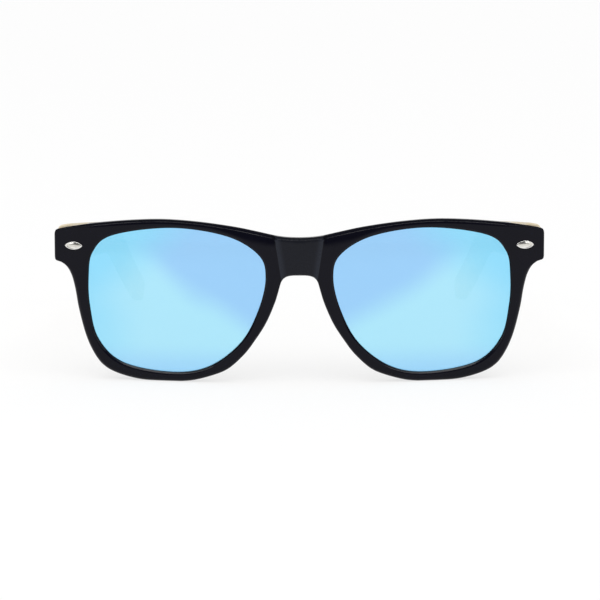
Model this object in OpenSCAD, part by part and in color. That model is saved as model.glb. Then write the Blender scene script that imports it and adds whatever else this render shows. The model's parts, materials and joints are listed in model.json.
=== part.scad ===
// Sunglasses with a moulded plastic front, mirrored lenses and sprung wooden temples.
// Millimetres. X is across the front, Y runs back along the temples, Z is up.
// The glasses stand on a table, on the rims and the temple tips. Left and right are the wearer's.

/* [Lenses] */
// Width of the lens opening in the rim
aperture_w = 52.6; // [44:0.2:60]
// Height of the lens opening in the rim
aperture_h = 43; // [34:0.5:48]
// Thickness of a lens
lens_t = 2; // [1.4:0.1:2.4]
// How far the front of the lens lies behind the front of the rim
lens_setback = 1; // [0.6:0.1:1.4]
// How far the edge of the lens reaches into the groove of the rim
lens_bite = 0.7; // [0.4:0.1:1]

/* [Front] */
// Gap between the two lens openings, across the nose
bridge_gap = 19.8; // [16:0.2:24]
// Radius of the ball that the front is wrapped on
wrap_r = 250; // [200:5:400]
// Thickness of the rims and the bridge
rim_t = 4; // [3.8:0.1:5]
// Width of the rim above the lens
rim_top = 2.4; // [1.6:0.1:4]
// Width of the rim below the lens
rim_bottom = 2.75; // [2:0.05:5]
// Width of the rim beside the lens
rim_side = 3.3; // [2.5:0.1:5]
// Length of the flat under each rim that stands on the table
rim_flat = 6; // [3:0.5:8]
// Height of the bridge
bridge_h = 11; // [8:0.2:13]
// Dip of the bridge below the top of the brow
bridge_dip = 5; // [3:0.5:7]
// Width of the panel on the bridge at its top
panel_top_w = 14.4; // [10:0.2:18]
// Width of the panel on the bridge at its underside
panel_under_w = 11; // [8:0.2:14]
// How far the panel on the bridge stands out
panel_raise = 0.4; // [0.2:0.1:0.6]
// How far an end piece reaches out beside the lens opening
end_reach = 10; // [8.5:0.25:12]
// Height of the end piece at its outer end
end_h = 10.25; // [8:0.25:12]
// Dip of the end piece's outer end below the top of the brow
end_dip = 3.6; // [3:0.2:6]
// Depth of the front, from the bridge to the back of the end pieces
front_depth = 17; // [16:0.25:20]
// How far a nose pad stands back from the rim
pad_reach = 5; // [3:0.5:7]

/* [Rivet plates] */
// Length of a pointed-oval plate
rivet_l = 5.5; // [4:0.1:6]
// Height of a pointed-oval plate
rivet_h = 2.4; // [1.8:0.1:3.2]
// How far a plate stands out of the end piece
rivet_raise = 0.5; // [0.3:0.1:0.8]
// Radius of a plate's pins
rivet_pin_r = 0.45; // [0.3:0.05:0.5]

/* [Temples] */
// Length of a temple from the hinge screw to the middle of the round tip
temple_l = 136; // [125:1:150]
// Thickness of a temple
temple_t = 4.8; // [4.4:0.1:6]
// Height of a temple at the hinge
temple_h = 11.2; // [9:0.2:13]
// Radius of the round tip
tip_r = 4.25; // [3.5:0.25:5]
// Radius of the long edges of a temple
temple_edge_r = 1.5; // [0.8:0.1:2]
// Slope across the temple's top at the hinge, as on the end piece
temple_lean = 9.5; // [0:0.5:12]
// Distance from the hinge screw to the start of the ear bend
bend_start = 86; // [70:1:95]
// Length of the ear bend
bend_l = 24; // [16:1:30]
// Downward turn of the ear bend, in degrees
bend_angle = 31; // [15:1:35]
// How far the tip curves in towards the head
tip_inward = 5; // [0:0.5:8]
// Inward angle of the open temples, in degrees
splay = 2.5; // [0:0.25:5]

/* [Hinge] */
// Radius of the hinge screw
screw_r = 0.65; // [0.5:0.05:0.8]
// Outer radius of the hinge knuckles
knuckle_r = 1.6; // [1.4:0.05:1.8]
// Height of the middle knuckle
eye_h = 2; // [1.6:0.1:2.4]
// Height of each outer knuckle
ear_h = 1.4; // [1.1:0.1:1.8]
// Distance of the hinge screw behind the end piece
pin_back = 3.7; // [3.6:0.1:4.5]
// Length of the spring
spring_l = 6.7; // [5:0.1:9]
// Radius of the spring at the middle of its wire
spring_r = 0.85; // [0.75:0.05:0.9]
// Radius of the spring's wire
wire_r = 0.15; // [0.1:0.01:0.18]
// Turns of the spring
spring_turns = 8; // [5:1:8]
// Radius of the slider's rod
rod_r = 0.5; // [0.4:0.05:0.55]
// Wall of the hinge housing beside its bore
housing_wall = 0.4; // [0.3:0.05:0.5]
// Length of the tail plate behind the housing
tail_l = 8; // [6:0.5:10]
// Thickness of the tail plate
tail_t = 0.9; // [0.8:0.1:1.2]
// Radius of the tail plate's screws
wood_screw_r = 0.55; // [0.4:0.05:0.6]

/* [Fits] */
// Clearance round pieces that are set into another
set_clear = 0.05; // [0.03:0.01:0.08]
// Clearance of the hinge screw and the rod in their bores
run_clear = 0.05; // [0.03:0.01:0.08]
// Clearance above and below the middle knuckle
side_clear = 0.08; // [0.05:0.01:0.12]
// Gap between the temple's end and the end piece
butt_gap = 0.2; // [0.15:0.05:0.4]

/* [Hidden] */
LEFT = 1;
RIGHT = -1;
$fn = 64;
// Facets of the large balls that the front is wrapped on
BALL_FN = 180;
// Steps of a curve between two of its points
CURVE_STEPS = 7;
// Overlap of a cutting shape past the face that it cuts
PAST = 1;
// Overlap of two shapes that make one solid
JOIN = 0.2;
// A place in front of the whole front, and a cutting block's half size
BEFORE = -5;
SPAN = 20;

// Front: heights and places
front_h = rim_bottom + aperture_h + rim_top;
mid_z = front_h / 2;
half_w = bridge_gap / 2 + aperture_w + end_reach;
lens_x = (bridge_gap + aperture_w) / 2;
lens_z = rim_bottom + aperture_h / 2;
bridge_top = front_h - bridge_dip;
bridge_under = bridge_top - bridge_h;
end_top = front_h - end_dip;
end_bottom = end_top - end_h;
end_lip = 0.3;
end_fall = 0.9;
end_block_in = 0.1;
end_inner_x = lens_x + aperture_w / 2 + lens_bite + end_block_in;
flat_shift = 2;
flat_x = lens_x + flat_shift;

// Outlines in parts of the half sizes, from hand-chosen points
lens_shape = [
    [1, 0.3], [0.95, 0.64], [0.72, 0.88], [0.06, 1], [-0.56, 0.9], [-0.92, 0.65], [-1, 0.34],
    [-0.92, -0.1], [-0.72, -0.56], [-0.36, -0.905], [0.06, -1], [0.62, -0.885], [0.9, -0.56], [0.99, -0.1],
];
outer_rim_shape = [[1.06, 0.29], [1.02, 0.1], [0.993, -0.11], [0.927, -0.44], [0.85, -0.665], [0.752, -0.828],
    [0.606, -0.924], [0.382, -0.989]];
inner_rim_shape = [[-0.203, -0.973], [-0.425, -0.887], [-0.541, -0.807], [-0.684, -0.637], [-0.775, -0.486],
    [-0.889, -0.268], [-0.984, 0], [-1.035, 0.215]];
inner_brow_shape = [[0.08, 0.07], [0.17, 0.34], [0.26, 0.6], [0.405, 0.88], [0.55, 1]];
outer_brow_shape = [[0.69, 0.87], [0.83, 0.575], [0.93, 0.28]];
nose_arch_shape = [[0.5, -1.3], [0.39, -0.4], [0.22, -0.03]];
// Corners of the end piece, in mm from its outer end and from its top or its underside
end_upper_shape = [[-0.4, 0], [0, -1]];
end_lower_shape = [[0, 1.4], [-0.4, 0.9], [-1.9, 0.6], [-3.2, -0.2]];
// Nose pad: place along the middle of the rim, part of the full reach, and radius
pad_shape = [
    [-0.985, 0.27, -0.2, 1.1], [-0.965, 0.12, 0.75, 1.6], [-0.91, -0.03, 1, 1.8],
    [-0.845, -0.2, 0.8, 1.6], [-0.79, -0.37, -0.2, 1.1],
];

// Hinge: the screw's place and the pieces along the rod, measured back from the screw
temple_in = 0.3;
temple_inset = 0.45;
hinge_drop = 0.2;
pin_x = half_w - temple_inset - temple_in - temple_t;
pin_y = front_depth + pin_back;
hinge_z = end_bottom + end_h / 2 - hinge_drop;
spring_clear = 0.2;
bore_r = spring_r + wire_r + spring_clear;
housing_cheek = 0.8;
housing_half = bore_r + housing_wall;
housing_half_h = bore_r + housing_cheek;
neck_l = 0.4;
neck_half = 0.9;
shoulder_y = knuckle_r + neck_l;
shoulder_t = 0.5;
shoulder_in = 0.3;
shoulder_r = housing_half - shoulder_in;
housing_y = shoulder_y + shoulder_t + side_clear;
bush_l = 1.2;
bush_sunk = 0.1;
bush_y = housing_y + bush_sunk;
spring_y = bush_y + bush_l + set_clear;
stop_y = spring_y + spring_l + set_clear;
stop_l = 1;
stop_clear = 0.15;
rod_past = 0.1;
rod_end = stop_y + stop_l + rod_past;
rod_room = 0.3;
bore_end = rod_end + rod_room;
housing_back = 1;
housing_end = bore_end + housing_back;
tail_end = housing_end + tail_l;
ear_z = eye_h / 2 + side_clear;
hinge_half_h = ear_z + ear_h;
screw_head_rim = 0.5;
screw_head_r = screw_r + screw_head_rim;
screw_head_t = 0.55;
screw_slot = 0.3;
foot_depth = 3;
foot_lip = 0.4;
foot_half_h = hinge_half_h + foot_lip;
foot_side = 0.2;
foot_half_w = knuckle_r + foot_side;
foot_flare = 0.8;
foot_flare_t = 1;
wood_screw_head_rim = 0.55;
wood_screw_head_r = wood_screw_r + wood_screw_head_rim;
wood_screw_head_t = 0.4;
wood_screw_slot = 0.24;
wood_screw_l = 3.2;
wood_screw_inset = 1.8;
wood_screw_places = [housing_end + wood_screw_inset, tail_end - wood_screw_inset];
// Notch of the temple round the knuckles
notch_side = 0.75;
notch_x = knuckle_r + notch_side;
notch_lip = 0.4;
notch_half_h = hinge_half_h + notch_lip;
notch_back = 0.3;

// Temple: the ear bend, the tip and the slope that brings the tip down to the table
bend_r = bend_l / (bend_angle * PI / 180);
bend_end = bend_start + bend_l;
inward_lead = 6;
inward_start = bend_start - inward_lead;
tip_s = path_s(temple_l);
tip_drop = path_h(temple_l);
slope = atan2(tip_drop, tip_s) + asin((hinge_z - tip_r) / norm([tip_s, tip_drop]));
temple_mid_x = temple_in + temple_t / 2;
butt_spare = 3;
butt_start = -pin_back - butt_spare;

// Middle of the whole depth, which is the origin
front_y = wrap_r - sqrt(pow(wrap_r + panel_raise, 2) - pow(bridge_under - mid_z, 2));
tip_run = tip_s * cos(slope) + tip_drop * sin(slope);
tip_y = pin_y + tip_run * cos(splay) + (temple_mid_x - tip_inward) * sin(splay) + tip_r;
mid_y = (front_y + tip_y) / 2;

// Curve through points: Catmull-Rom, as a polygon's points
function curve_point(a, b, c, d, t) =
    (b * 2 + (c - a) * t + (a * 2 - b * 5 + c * 4 - d) * t * t + (b * 3 - a - c * 3 + d) * t * t * t) / 2;

function closed_curve(p) = [
    for (i = [0 : len(p) - 1], k = [0 : CURVE_STEPS - 1])
        let (n = len(p))
            curve_point(p[(i + n - 1) % n], p[i], p[(i + 1) % n], p[(i + 2) % n], k / CURVE_STEPS)
];

// The first and last points of an open curve only steer its ends
function open_curve(p) = [
    for (i = [1 : len(p) - 3], k = [0 : CURVE_STEPS - 1])
        curve_point(p[i - 1], p[i], p[i + 1], p[i + 2], k / CURVE_STEPS),
    p[len(p) - 2]
];

function mirrored(p) = [for (i = [len(p) - 1 : -1 : 0]) [-p[i].x, p[i].y]];

function lens_outline(extra) = closed_curve([
    for (q = lens_shape) [lens_x + q.x * (aperture_w / 2 + extra), lens_z + q.y * (aperture_h / 2 + extra)]
]);

function rim_point(q) = [
    lens_x + q.x * (aperture_w / 2 + rim_side), lens_z + q.y * (aperture_h / 2 + rim_bottom)
];

// Right half of the front's outline, from the top of the bridge round to the nose
brow = [
    for (q = inner_brow_shape) [q.x * half_w, bridge_top + q.y * bridge_dip],
    for (q = outer_brow_shape) [q.x * half_w, end_top + q.y * end_dip]
];
end_upper = [for (q = end_upper_shape) [half_w + q.x, end_top + q.y]];
end_lower = [for (q = end_lower_shape) [half_w + q.x, end_bottom + q.y]];
flat_outer = [flat_x + rim_flat / 2, 0];
flat_inner = [flat_x - rim_flat / 2, 0];
outer_rim = [for (q = outer_rim_shape) rim_point(q)];
inner_rim = [for (q = inner_rim_shape) rim_point(q)];
nose_arch = [for (q = nose_arch_shape) [q.x * bridge_gap / 2, bridge_under + q.y]];
bridge_over_mid = [0, bridge_top];
bridge_under_mid = [0, bridge_under];
half_outline = concat(
    open_curve(concat([[-brow[0].x, brow[0].y], bridge_over_mid], brow, [end_upper[0], [half_w, end_top]])),
    [end_upper[1], end_lower[0], end_lower[1]],
    open_curve(concat([end_lower[1], end_lower[2], end_lower[3]], outer_rim, [flat_outer, flat_inner])),
    open_curve(concat([flat_outer, flat_inner], inner_rim, nose_arch,
        [bridge_under_mid, [-nose_arch[2].x, nose_arch[2].y]]))
);
front_outline = concat(half_outline, mirrored([for (i = [1 : len(half_outline) - 2]) half_outline[i]]));

// Places
module placed() translate([0, -mid_y, 0]) children();

module sided(side) {
    if (side == LEFT) children();
    else mirror([1, 0, 0]) children();
}

// At the hinge screw, turned with the open temple but upright
module at_pin() translate([pin_x, pin_y, hinge_z]) rotate([0, 0, splay]) children();

// At the hinge screw, with Y along the temple
module along_temple() at_pin() rotate([-slope, 0, 0]) children();

// Flat shape in X and Z, from y_from back to y_to
module across(y_from, y_to)
    translate([0, y_to, 0]) rotate([90, 0, 0]) linear_extrude(y_to - y_from) children();

module ball(r) translate([0, wrap_r, mid_z]) sphere(r, $fn = BALL_FN);

module ball_shell(r_out, r_in) {
    difference() {
        ball(r_out);
        ball(r_in);
    }
}

// On the front's face at a point of the outline, with Y into the front
module on_face(x, z) {
    turn = asin(x / wrap_r);
    tilt = asin((z - mid_z) / wrap_r);
    translate([0, wrap_r, mid_z]) rotate([0, 0, turn]) rotate([-tilt, 0, 0])
        translate([0, -wrap_r, 0]) children();
}

// Box by its lowest and highest corners
module block(low, high) translate(low) cube(high - low);

// Cylinder along Y
module bar(r, y_from, y_to) translate([0, y_from, 0]) rotate([-90, 0, 0]) cylinder(r = r, h = y_to - y_from);

// Cylinder along Z
module post(r, z_from, z_to) translate([0, 0, z_from]) cylinder(r = r, h = z_to - z_from);

// Cylinder along X
module peg(r, x_from, x_to) translate([x_from, 0, 0]) rotate([0, 90, 0]) cylinder(r = r, h = x_to - x_from);

// Front
// Thick part of an end piece, a little lower than the brow in front of it
module end_block() {
    intersection() {
        block([end_inner_x, BEFORE, end_bottom + end_lip], [half_w + PAST, front_depth + PAST, front_h]);
        across(BEFORE, front_depth + PAST) translate([0, -end_fall]) polygon(front_outline);
    }
}

module wrapped_front() {
    difference() {
        intersection() {
            across(BEFORE, front_depth) polygon(front_outline);
            ball(wrap_r);
        }
        difference() {
            ball(wrap_r - rim_t);
            for (side = [LEFT, RIGHT]) sided(side) end_block();
        }
    }
}

module bridge_panel() {
    intersection() {
        across(BEFORE, front_depth) intersection() {
            polygon(front_outline);
            polygon([[-panel_top_w / 2, bridge_top + PAST], [panel_top_w / 2, bridge_top + PAST],
                [panel_under_w / 2, bridge_under - PAST], [-panel_under_w / 2, bridge_under - PAST]]);
        }
        ball_shell(wrap_r + panel_raise, wrap_r - rim_t / 2);
    }
}

// A pad is a rounded swelling on the back of the rim beside the nose
module nose_pad() {
    hull() {
        for (p = pad_shape)
            translate([
                lens_x + p[0] * (aperture_w + rim_side) / 2,
                rim_t + p[2] * (pad_reach - p[3]),
                lens_z + p[1] * (aperture_h + rim_bottom) / 2
            ]) sphere(p[3], $fn = 24);
    }
}

// Foot of the front hinge, wider at its far end, which anchors it in the plastic
module hinge_foot(extra, out = 0) {
    half_w = foot_half_w + extra;
    half_h = foot_half_h + extra;
    back = foot_depth + extra;
    translate([pin_x, front_depth, hinge_z]) {
        block([-half_w, -back, -half_h], [half_w, out, half_h]);
        block([-half_w - foot_flare, -back, -half_h],
            [half_w + foot_flare, 2 * extra + foot_flare_t - back, half_h]);
    }
}

module front_frame() {
    color([0.09, 0.09, 0.1]) placed() difference() {
        union() {
            wrapped_front();
            bridge_panel();
            for (side = [LEFT, RIGHT]) sided(side) nose_pad();
        }
        for (side = [LEFT, RIGHT]) sided(side) {
            across(BEFORE, front_depth) polygon(lens_outline(0));
            lens_blank(set_clear);
            rivet_body(set_clear);
            hinge_foot(set_clear, PAST);
        }
    }
}

// Lenses
module lens_blank(extra) {
    face_r = wrap_r - lens_setback;
    intersection() {
        across(BEFORE, front_depth) polygon(lens_outline(lens_bite + extra));
        ball_shell(face_r + extra, face_r - lens_t - extra);
    }
}

module lens(side) color([0.37, 0.72, 0.97]) placed() sided(side) lens_blank(0);

// Rivet plates
rivet_in = 5.8;
rivet_lift = 0.7;
rivet_x = half_w - rivet_in;
rivet_z = hinge_z + rivet_lift;
rivet_sunk = 0.4;
rivet_bevel = 0.3;
rivet_pin_l = 1.6;
rivet_arc_r = (pow(rivet_l / 2, 2) + pow(rivet_h / 2, 2)) / rivet_h;

// Overlap of two round shapes, pointed at both ends
module pointed_oval(r_low, r_high, y_from, y_to) {
    offset_z = rivet_arc_r - rivet_h / 2;
    intersection_for (s = [-1, 1])
        translate([0, y_to, s * offset_z]) rotate([90, 0, 0])
            cylinder(r1 = r_low, r2 = r_high, h = y_to - y_from);
}

module rivet_body(extra) {
    r = rivet_arc_r + extra;
    on_face(rivet_x, rivet_z) {
        pointed_oval(r, r, rivet_bevel - rivet_raise, rivet_sunk + extra);
        pointed_oval(r, r - rivet_bevel, -rivet_raise, rivet_bevel - rivet_raise);
        for (s = [-1, 1])
            translate([s * rivet_l / 4, 0, 0]) bar(rivet_pin_r + extra, 0, rivet_sunk + rivet_pin_l + extra);
    }
}

module rivet(side) color([0.8, 0.8, 0.78]) placed() sided(side) rivet_body(0);

// Hinge
module front_hinge(side) {
    color([0.72, 0.72, 0.72]) placed() sided(side) difference() {
        union() {
            hinge_foot(0);
            translate([pin_x, pin_y, hinge_z]) for (z = [-hinge_half_h, ear_z]) {
                post(knuckle_r, z, z + ear_h);
                block([-knuckle_r, -pin_back, z], [knuckle_r, 0, z + ear_h]);
            }
        }
        translate([pin_x, pin_y, hinge_z]) {
            post(screw_r + run_clear, -hinge_half_h - PAST, hinge_half_h + PAST);
            post(screw_head_r + run_clear, hinge_half_h - screw_head_t - run_clear, hinge_half_h + PAST);
        }
    }
}

module pivot_screw(side) {
    color([0.6, 0.6, 0.6]) placed() sided(side) translate([pin_x, pin_y, hinge_z]) difference() {
        union() {
            post(screw_r, -hinge_half_h, hinge_half_h);
            post(screw_head_r, hinge_half_h - screw_head_t, hinge_half_h);
        }
        block([-screw_head_r - PAST, -screw_slot / 2, hinge_half_h - screw_head_t / 2],
            [screw_head_r + PAST, screw_slot / 2, hinge_half_h + PAST]);
    }
}

module slider(side) {
    color([0.7, 0.7, 0.68]) placed() sided(side) difference() {
        union() {
            at_pin() post(knuckle_r, -eye_h / 2, eye_h / 2);
            at_pin() intersection() {
                rotate([-slope, 0, 0]) block([-neck_half, 0, -eye_h], [neck_half, shoulder_y + JOIN, eye_h]);
                block([-knuckle_r, 0, -eye_h / 2], [knuckle_r, shoulder_y + PAST, eye_h / 2]);
            }
            along_temple() {
                bar(shoulder_r, shoulder_y, shoulder_y + shoulder_t);
                bar(rod_r, shoulder_y, rod_end);
            }
        }
        at_pin() post(screw_r + run_clear, -eye_h, eye_h);
    }
}

module guide_bush(side) {
    color([0.78, 0.66, 0.4]) placed() sided(side) along_temple() difference() {
        bar(bore_r - set_clear, bush_y, bush_y + bush_l);
        bar(rod_r + run_clear, bush_y - PAST, bush_y + bush_l + PAST);
    }
}

module spring_stop(side) {
    color([0.62, 0.62, 0.62]) placed() sided(side) along_temple() difference() {
        bar(bore_r - stop_clear, stop_y, stop_y + stop_l);
        bar(rod_r + set_clear, stop_y - PAST, stop_y + stop_l + PAST);
    }
}

// Spring: one wire of SIDES sides, wound round Y
SIDES = 6;
RINGS_PER_TURN = 8;
spring_rings = spring_turns * RINGS_PER_TURN;
spring_pitch = (spring_l - 2 * wire_r) / spring_turns;

function spring_middle(i) = let (turn = 360 * i / RINGS_PER_TURN)
    [spring_r * cos(turn), spring_pitch * turn / 360, spring_r * sin(turn)];

// Least gap between neighbouring turns
spring_gap = min([
    for (i = [0 : spring_rings - RINGS_PER_TURN]) norm(spring_middle(i + RINGS_PER_TURN) - spring_middle(i))
]) - 2 * wire_r;
echo(spring_gap = spring_gap);

function spring_ring(i) = [
    for (k = [0 : SIDES - 1])
        let (turn = 360 * i / RINGS_PER_TURN, a = 360 * k / SIDES, r = spring_r + wire_r * cos(a))
            [r * cos(turn), spring_y + wire_r * (1 + sin(a)) + spring_pitch * turn / 360, r * sin(turn)]
];

// Faces of a tube made of rings of n points, closed at both ends
function tube_faces(rings, n) = concat(
    [for (i = [0 : rings - 2], k = [0 : n - 1]) each [
        [i * n + k, i * n + (k + 1) % n, (i + 1) * n + k],
        [i * n + (k + 1) % n, (i + 1) * n + (k + 1) % n, (i + 1) * n + k]
    ]],
    [[for (k = [n - 1 : -1 : 0]) k], [for (k = [0 : n - 1]) (rings - 1) * n + k]]
);

module spring(side) {
    points = [for (i = [0 : spring_rings]) each spring_ring(i)];
    color([0.55, 0.57, 0.6]) placed() sided(side) along_temple()
        polyhedron(points, tube_faces(spring_rings + 1, SIDES));
}

module housing_body(extra) {
    block([-housing_half, housing_y, -housing_half_h - extra],
        [housing_half + extra, housing_end + extra, housing_half_h + extra]);
    block([temple_in, housing_end - PAST, -housing_half_h - extra],
        [temple_in + tail_t + extra, tail_end + extra, housing_half_h + extra]);
}

module hinge_housing(side) {
    color([0.75, 0.75, 0.74]) placed() sided(side) along_temple() difference() {
        housing_body(0);
        bar(bore_r, housing_y - PAST, bore_end);
        for (y = wood_screw_places) translate([0, y, 0]) {
            peg(wood_screw_r + set_clear, temple_in - PAST, temple_in + tail_t + PAST);
            peg(wood_screw_head_r + set_clear, temple_in - PAST, temple_in + wood_screw_head_t + set_clear);
        }
    }
}

module wood_screw(extra) {
    peg(wood_screw_r + extra, temple_in, temple_in + wood_screw_l + extra);
    peg(wood_screw_head_r, temple_in, temple_in + wood_screw_head_t);
}

module housing_screws(side) {
    color([0.6, 0.6, 0.6]) placed() sided(side) along_temple()
        for (y = wood_screw_places) translate([0, y, 0]) difference() {
            wood_screw(0);
            block([temple_in - PAST, -wood_screw_slot / 2, -wood_screw_head_r - PAST],
                [temple_in + wood_screw_head_t / 2, wood_screw_slot / 2, wood_screw_head_r + PAST]);
        }
}

// Temples: a rounded bar swept along a straight run, the ear bend and the tip
function turn_at(q) = bend_angle * max(0, min(1, (q - bend_start) / bend_l));

function path_s(q) = q <= bend_start ? q
    : q <= bend_end ? bend_start + bend_r * sin(turn_at(q))
    : bend_start + bend_r * sin(bend_angle) + (q - bend_end) * cos(bend_angle);

function path_h(q) = q <= bend_start ? 0
    : -bend_r * (1 - cos(turn_at(q))) - max(0, q - bend_end) * sin(bend_angle);

function inward_at(q) = tip_inward * pow(max(0, (q - inward_start) / (temple_l - inward_start)), 2);

function half_h_at(q) = temple_h / 2 - (temple_h / 2 - tip_r) * pow(q / temple_l, 2);

function lean_at(q) = tan(temple_lean) * pow(1 - min(q, temple_l) / temple_l, 2);

SECTION_STEPS = 4;
// Largest share of a half size that a rounded edge takes
ROUND_SHARE = 0.85;

// Rounded rectangle of half sizes a and b
function section(a, b) = let (r = min(temple_edge_r, ROUND_SHARE * a, ROUND_SHARE * b)) [
    for (k = [0 : 3], j = [0 : SECTION_STEPS])
        let (t = 90 * (k + j / SECTION_STEPS), sx = (k == 0 || k == 3) ? 1 : -1, sz = k < 2 ? 1 : -1)
            [sx * (a - r) + r * cos(t), sz * (b - r) + r * sin(t)]
];

function temple_ring(q, half_t, half_h) = [
    for (p = section(half_t, half_h))
        let (up = p.y - p.x * lean_at(q)) [
            temple_mid_x - inward_at(min(q, temple_l)) + p.x,
            path_s(q) + up * sin(turn_at(q)),
            path_h(q) + up * cos(turn_at(q))
        ]
];

// Stations of the sweep along each stretch, and turns of the round tip
STATIONS = 8;
straight_stations = [for (i = [0 : STATIONS - 1]) butt_start + (bend_start - butt_start) * i / STATIONS];
bend_stations = [for (i = [0 : STATIONS]) bend_start + bend_l * i / STATIONS];
ear_stations = [for (i = [1 : STATIONS]) bend_end + (temple_l - bend_end) * i / STATIONS];
stations = concat(straight_stations, bend_stations, ear_stations);
tip_turns = [20, 40, 56, 70, 80];
TIP_FLAT = 0.4;

module temple_bar() {
    half_t = temple_t / 2;
    rings = concat(
        [for (q = stations) temple_ring(q, half_t, half_h_at(q))],
        [for (t = tip_turns) temple_ring(
            temple_l + tip_r * sin(t), half_t * (TIP_FLAT + (1 - TIP_FLAT) * cos(t)), tip_r * cos(t)
        )]
    );
    polyhedron([for (r = rings) each r], tube_faces(len(rings), 4 * (SECTION_STEPS + 1)));
}

module temple(side) {
    color([0.86, 0.74, 0.55]) placed() sided(side) difference() {
        along_temple() temple_bar();
        // Upright end, square to the back of the end piece
        translate([pin_x, front_depth + butt_gap, hinge_z]) block([-SPAN, -SPAN, -SPAN], [SPAN, 0, SPAN]);
        at_pin() block([-SPAN, -SPAN, -notch_half_h], [notch_x, housing_y + notch_back, notch_half_h]);
        along_temple() {
            housing_body(set_clear);
            for (y = wood_screw_places) translate([0, y, 0]) wood_screw(set_clear);
        }
    }
}

front_frame();
lens(LEFT);  // lens_left
lens(RIGHT);  // lens_right
rivet(LEFT);  // rivet_left
rivet(RIGHT);  // rivet_right
front_hinge(LEFT);  // front_hinge_left
front_hinge(RIGHT);  // front_hinge_right
pivot_screw(LEFT);  // pivot_screw_left
pivot_screw(RIGHT);  // pivot_screw_right
slider(LEFT);  // slider_left
slider(RIGHT);  // slider_right
spring(LEFT);  // spring_left
spring(RIGHT);  // spring_right
spring_stop(LEFT);  // spring_stop_left
spring_stop(RIGHT);  // spring_stop_right
guide_bush(LEFT);  // guide_bush_left
guide_bush(RIGHT);  // guide_bush_right
hinge_housing(LEFT);  // hinge_housing_left
hinge_housing(RIGHT);  // hinge_housing_right
housing_screws(LEFT);  // housing_screws_left
housing_screws(RIGHT);  // housing_screws_right
temple(LEFT);  // temple_left
temple(RIGHT);  // temple_right
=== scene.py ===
import json
import math

import bpy
import numpy as np
from mathutils import Matrix, Quaternion, Vector


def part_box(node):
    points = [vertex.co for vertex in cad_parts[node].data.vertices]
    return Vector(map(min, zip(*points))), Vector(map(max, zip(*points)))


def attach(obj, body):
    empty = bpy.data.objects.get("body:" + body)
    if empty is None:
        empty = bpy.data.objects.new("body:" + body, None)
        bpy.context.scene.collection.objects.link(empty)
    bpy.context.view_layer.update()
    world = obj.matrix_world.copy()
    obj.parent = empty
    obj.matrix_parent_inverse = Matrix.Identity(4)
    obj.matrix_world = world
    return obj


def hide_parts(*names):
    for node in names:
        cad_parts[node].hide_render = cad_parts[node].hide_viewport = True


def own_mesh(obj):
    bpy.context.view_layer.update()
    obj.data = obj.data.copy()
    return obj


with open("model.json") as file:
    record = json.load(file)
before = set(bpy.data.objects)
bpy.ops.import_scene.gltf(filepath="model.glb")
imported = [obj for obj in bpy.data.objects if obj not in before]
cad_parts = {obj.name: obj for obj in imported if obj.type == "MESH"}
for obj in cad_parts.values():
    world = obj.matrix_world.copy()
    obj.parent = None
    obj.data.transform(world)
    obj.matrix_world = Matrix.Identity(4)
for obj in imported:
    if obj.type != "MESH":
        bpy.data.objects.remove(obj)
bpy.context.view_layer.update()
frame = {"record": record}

bl_info = {
    "name": "Sunglasses with wooden temples",
    "version": (1, 0, 0),
    "blender": (4, 5, 0),
    "location": "3D View > Sidebar > Sunglasses",
    "description": "Moulded front, mirrored lenses, rivet plates and bamboo temples round a packed frame",
    "category": "Object",
}

MM = 0.001

# Front: sizes that the solids share, in metres
APERTURE_W = 52.6 * MM
APERTURE_H = 43 * MM
LENS_T = 2 * MM
LENS_SETBACK = 1 * MM
LENS_BITE = 0.7 * MM
SET_CLEAR = 0.05 * MM
BRIDGE_GAP = 19.8 * MM
WRAP_R = 250 * MM
RIM_T = 4 * MM
RIM_TOP = 2.4 * MM
RIM_BOTTOM = 2.75 * MM
RIM_SIDE = 3.3 * MM
RIM_FLAT = 6 * MM
FLAT_SHIFT = 2 * MM
BRIDGE_H = 11 * MM
BRIDGE_DIP = 5 * MM
PANEL_TOP_W = 14.4 * MM
PANEL_UNDER_W = 11 * MM
PANEL_RAISE = 0.4 * MM
PANEL_STEP = 0.35
END_H = 10.25 * MM
END_DIP = 3.6 * MM
END_FALL = 0.9 * MM
END_STEP_X = 63.2 * MM
END_STEP_W = 1.6 * MM
END_FADE = 4.5 * MM
FRONT_DEPTH = 17 * MM

FRONT_HIGH = Vector(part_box("front_frame")[1])
HALF_W = FRONT_HIGH.x
FRONT_H = RIM_BOTTOM + APERTURE_H + RIM_TOP
MID_Z = FRONT_H / 2
LENS_X = (BRIDGE_GAP + APERTURE_W) / 2
LENS_Z = RIM_BOTTOM + APERTURE_H / 2
BRIDGE_TOP = FRONT_H - BRIDGE_DIP
BRIDGE_UNDER = BRIDGE_TOP - BRIDGE_H
END_TOP = FRONT_H - END_DIP
END_BOTTOM = END_TOP - END_H
# The foremost point of the ball that the front is wrapped on
FACE_Y = FRONT_HIGH.y - FRONT_DEPTH
# Growth of the half panel's width with height
PANEL_LEAN = (PANEL_TOP_W - PANEL_UNDER_W) / BRIDGE_H / 2

# Where a form of the front begins and ends, from the middle (x) or from the table (z)
PAD_X = (14 * MM, 20 * MM)
PAD_LOW_Z = (14.5 * MM, 21 * MM)
PAD_HIGH_Z = (25.5 * MM, 31.5 * MM)
ROLL_X = (14 * MM, 32 * MM)
ROLL_Z = (BRIDGE_TOP - 8 * MM, BRIDGE_TOP - 5 * MM)
CRISP_X = (62 * MM, 67 * MM)
CRISP_Z = (END_BOTTOM - 2 * MM, END_BOTTOM + MM)
BROW_X = (60 * MM, 64 * MM)
BROW_Z = (36 * MM, 40 * MM)
FALL_X = (62 * MM, 64.5 * MM)
FALL_Z = (END_TOP - 3 * MM, END_TOP - MM)

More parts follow.
